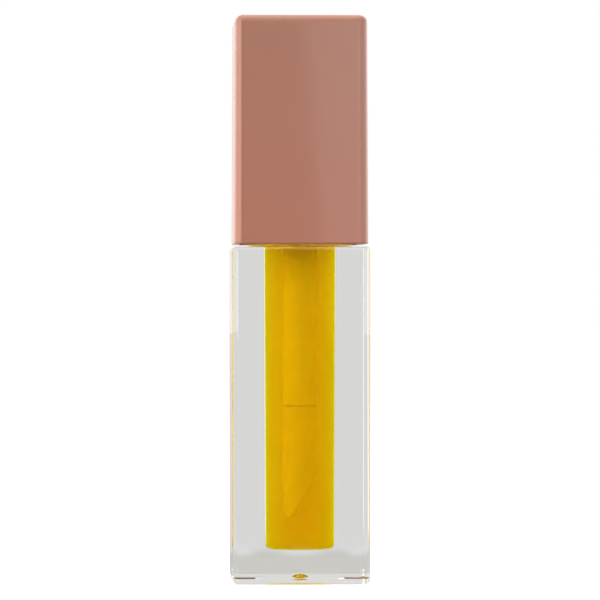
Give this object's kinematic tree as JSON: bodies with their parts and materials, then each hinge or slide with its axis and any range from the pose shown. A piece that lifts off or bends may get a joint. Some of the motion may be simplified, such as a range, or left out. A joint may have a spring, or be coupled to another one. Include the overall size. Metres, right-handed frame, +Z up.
{
  "type": "lip gloss tube",
  "caption": "Square thick-walled clear lip gloss tube with a round gloss chamber, a tall square screw cap and a doe-foot wand that hangs from the cap.",
  "frame": {"origin": "centre of the foot, on the surface the tube stands on", "axes": "+Z up along the tube towards the cap's top; +X and +Y square to the flat sides; -Y is the front; the tip's long side (toe) is at -X"},
  "size_m": [0.0244, 0.0244, 0.101],
  "materials": {
    "clear_plastic": "clear, polished",
    "wiper_plastic": "soft, milky",
    "gloss": "thick wet gel",
    "gasket_foam": "closed-cell foam",
    "inner_cap_plastic": "satin",
    "cap_plastic": "glossy, opaque",
    "stem_plastic": "smooth, milky",
    "tip_plastic": "smooth",
    "flock": "short nylon flock, wet with gloss"
  },
  "bodies": {
    "bottle": {"bottle": "clear_plastic", "wiper": "wiper_plastic"},
    "gloss": {"gloss_fill": "gloss"},
    "cap": {"outer_cap": "cap_plastic", "inner_cap": "inner_cap_plastic", "sealing_gasket": "gasket_foam", "applicator_stem": "stem_plastic", "applicator_core": "tip_plastic", "applicator_flock": "flock"}
  },
  "joints": [
    {"name": "cap_turn", "type": "hinge", "parent": "bottle", "child": "gloss", "pos_m": [0, 0, 0], "axis": [0, 0, 1], "range_deg": [0, 270]},
    {"name": "cap_lift", "type": "slide", "parent": "gloss", "child": "cap", "axis": [0, 0, 1], "range_m": [0, 0.075]}
  ]
}
